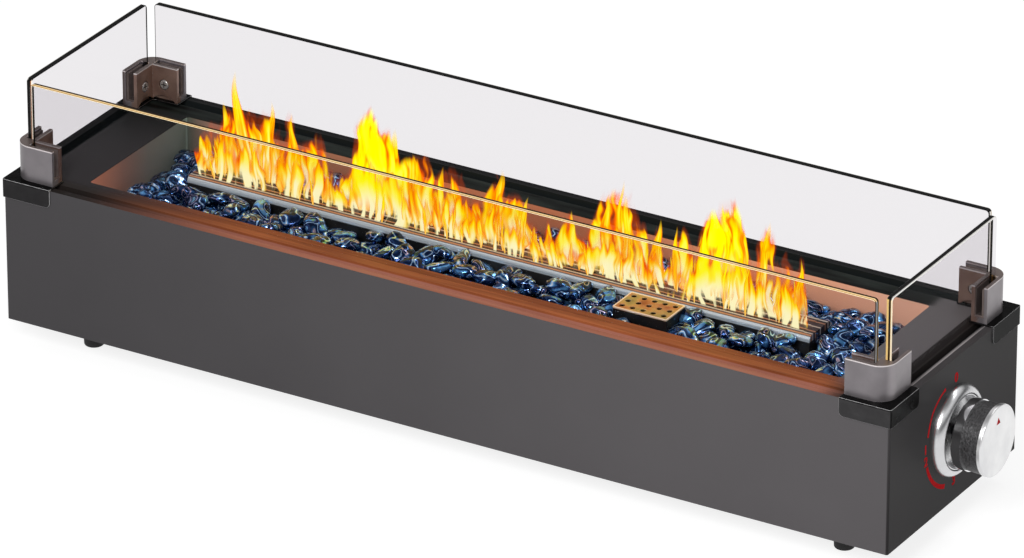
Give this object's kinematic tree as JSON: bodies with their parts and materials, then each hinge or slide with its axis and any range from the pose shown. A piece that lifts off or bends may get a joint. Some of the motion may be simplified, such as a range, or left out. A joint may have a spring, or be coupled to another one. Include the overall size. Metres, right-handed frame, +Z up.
{
  "type": "tabletop gas fire pit",
  "caption": "Long low steel fire pit with a straight gas burner in fire glass, a clear glass wind guard on corner clips and a push-and-turn valve knob on one end.",
  "frame": {"origin": "middle of the whole box's bottom face, on the surface that the feet stand on", "axes": "+X along the length towards the control knob, +Y from the front to the back with the gas inlet, +Z up"},
  "size_m": [0.746, 0.202, 0.2052],
  "materials": {
    "housing_paint": "satin dark grey powder coat",
    "tray_paint": "satin black heat-resistant coat",
    "cap_paint": "gloss black",
    "clip_metal": "satin grey",
    "pane_glass": "clear toughened glass",
    "fire_glass": "dark blue lustre",
    "pad_silicone": "matt grey silicone",
    "foot_rubber": "matt black",
    "stainless": "brushed, heat tinted",
    "cover_steel": "brushed, heat tinted gold",
    "zinc_steel": "zinc plated",
    "brass": "machined",
    "valve_casting": "as cast",
    "ceramic": "glazed white",
    "lead_sleeve": "silicone sleeve",
    "knob_chrome": "bright chrome",
    "knob_black": "hammered black",
    "knob_satin": "satin chrome",
    "dial_print": "printed red",
    "flame": "burning gas, not a physical piece"
  },
  "bodies": {
    "housing": {"housing_shell": "housing_paint", "bottom_plate": "housing_paint", "fire_tray": "tray_paint", "corner_cap_front_left": "cap_paint", "corner_cap_front_right": "cap_paint", "corner_cap_back_left": "cap_paint", "corner_cap_back_right": "cap_paint", "glass_clip_front_left": "clip_metal", "glass_clip_front_right": "clip_metal", "glass_clip_back_left": "clip_metal", "glass_clip_back_right": "clip_metal", "glass_front": "pane_glass", "glass_back": "pane_glass", "glass_left": "pane_glass", "glass_right": "pane_glass", "fire_glass_bed": "fire_glass", "clip_pads": "pad_silicone", "foot_front_left": "foot_rubber", "foot_front_right": "foot_rubber", "foot_back_left": "foot_rubber", "foot_back_right": "foot_rubber", "burner_bar": "stainless", "burner_end_plates": "stainless", "burner_brackets": "stainless", "mixer_tube": "stainless", "igniter_bracket": "stainless", "igniter_cover": "cover_steel", "foot_screws": "zinc_steel", "base_screws": "zinc_steel", "burner_screws": "zinc_steel", "burner_nuts": "zinc_steel", "clip_screws": "zinc_steel", "cap_screws": "zinc_steel", "valve_screws": "zinc_steel", "mixer_nut": "zinc_steel", "lead_clips": "zinc_steel", "spark_electrode": "zinc_steel", "thermocouple_probe": "zinc_steel", "burner_pipe": "zinc_steel", "inlet_pipe": "zinc_steel", "gas_jet": "brass", "inlet_fitting": "brass", "inlet_nut": "brass", "pipe_nuts": "brass", "gas_valve_body": "valve_casting", "electrode_insulator": "ceramic", "spark_lead": "lead_sleeve", "thermocouple_lead": "lead_sleeve", "knob_bezel": "knob_chrome", "valve_spring": "zinc_steel"},
    "push_piece": {"valve_plunger": "brass"},
    "knob": {"valve_stem": "brass", "knob_base_ring": "knob_chrome", "knob_grip": "knob_black", "knob_face": "knob_satin"}
  },
  "joints": [
    {"name": "knob_push", "type": "slide", "parent": "housing", "child": "push_piece", "axis": [-1, 0, 0], "range_m": [0, 0.004], "stiffness_N_per_m": 1500, "springref_m": -0.002, "deforming": ["valve_spring"]},
    {"name": "knob_turn", "type": "hinge", "parent": "push_piece", "child": "knob", "pos_m": [0.339, -0.0075, 0.077], "axis": [1, 0, 0], "range_deg": [0, 180]}
  ]
}
